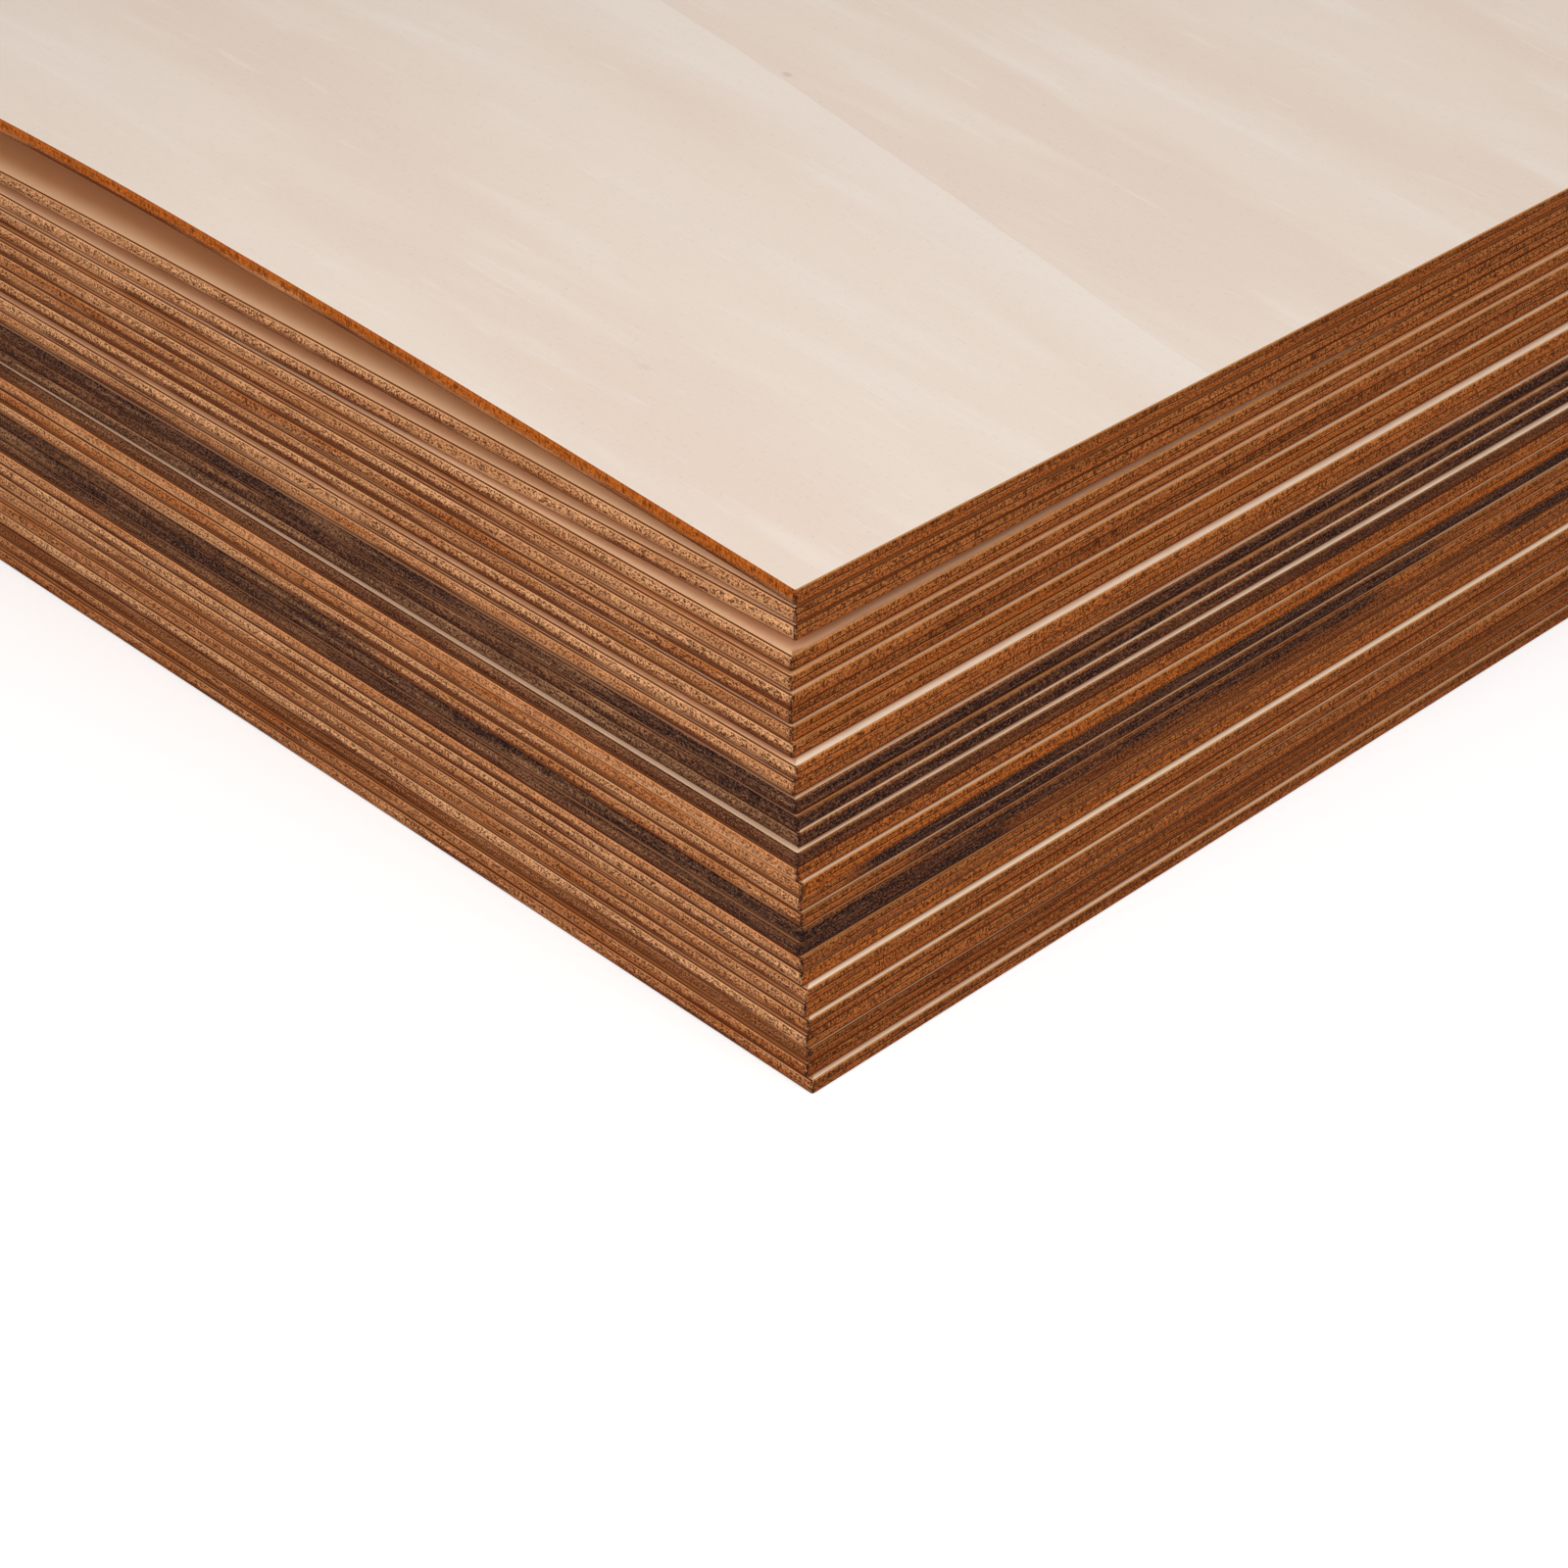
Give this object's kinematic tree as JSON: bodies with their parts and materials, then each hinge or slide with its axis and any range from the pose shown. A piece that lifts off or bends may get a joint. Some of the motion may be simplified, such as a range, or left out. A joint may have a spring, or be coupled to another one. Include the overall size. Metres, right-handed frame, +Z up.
{
  "type": "stack of plywood sheets",
  "caption": "Loose stack of thin square plywood sheets with browned laser-cut edges, the top sheets warped and lifting at one corner.",
  "frame": {"origin": "middle of the bottom sheet's underside", "axes": "+Z up through the stack; +X and +Y along the sheets' edges, with the lifted corner of the top sheets at +X, -Y"},
  "size_m": [0.3192, 0.3131, 0.1012],
  "materials": {
    "plywood": "pale sanded veneer faces, matt, with edges browned and in places charred by laser cutting"
  },
  "bodies": {
    "root": {"sheet_01": "plywood", "sheet_02": "plywood", "sheet_03": "plywood", "sheet_04": "plywood", "sheet_05": "plywood", "sheet_06": "plywood", "sheet_07": "plywood", "sheet_08": "plywood", "sheet_09": "plywood", "sheet_10": "plywood", "sheet_11": "plywood", "sheet_12": "plywood", "sheet_13": "plywood", "sheet_14": "plywood", "sheet_15": "plywood", "sheet_16": "plywood", "sheet_17": "plywood", "sheet_18": "plywood", "sheet_19": "plywood", "sheet_20": "plywood", "sheet_21": "plywood", "sheet_22": "plywood", "sheet_23": "plywood", "sheet_24": "plywood", "sheet_25": "plywood", "sheet_26": "plywood", "sheet_27": "plywood", "sheet_28": "plywood", "sheet_29": "plywood", "sheet_30": "plywood"}
  },
  "joints": []
}
